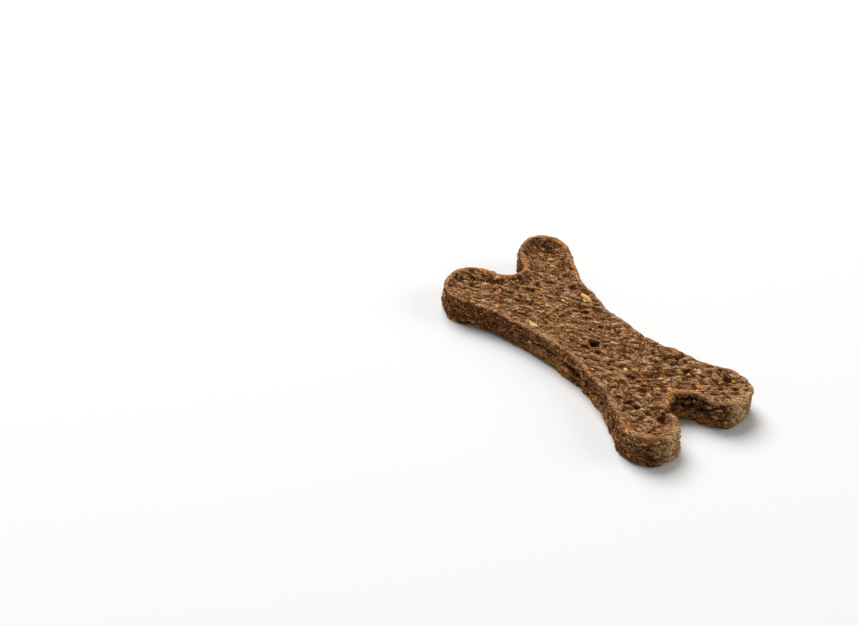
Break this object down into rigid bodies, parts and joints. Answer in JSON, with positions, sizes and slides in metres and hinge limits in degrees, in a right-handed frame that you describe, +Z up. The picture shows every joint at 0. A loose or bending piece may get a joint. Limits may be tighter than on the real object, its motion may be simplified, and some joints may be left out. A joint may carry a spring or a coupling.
{
  "type": "bone-shaped dried beef chew",
  "caption": "Flat bone-shaped chew of dried minced beef with round knobs, notched ends, a raised rim round a shallow dish and a craggy brown surface.",
  "frame": {"origin": "on the ground under the middle of the footprint", "axes": "+Z up out of the shown, dished face; +X along the bone towards the end whose knobs lie nearer the camera"},
  "size_m": [0.1032, 0.0504, 0.0117],
  "materials": {
    "dried_meat": "dull, craggy",
    "golden_grain": "waxy",
    "orange_fleck": "waxy",
    "cream_flake": "dull"
  },
  "bodies": {
    "root": {"bone": "dried_meat"}
  },
  "joints": []
}
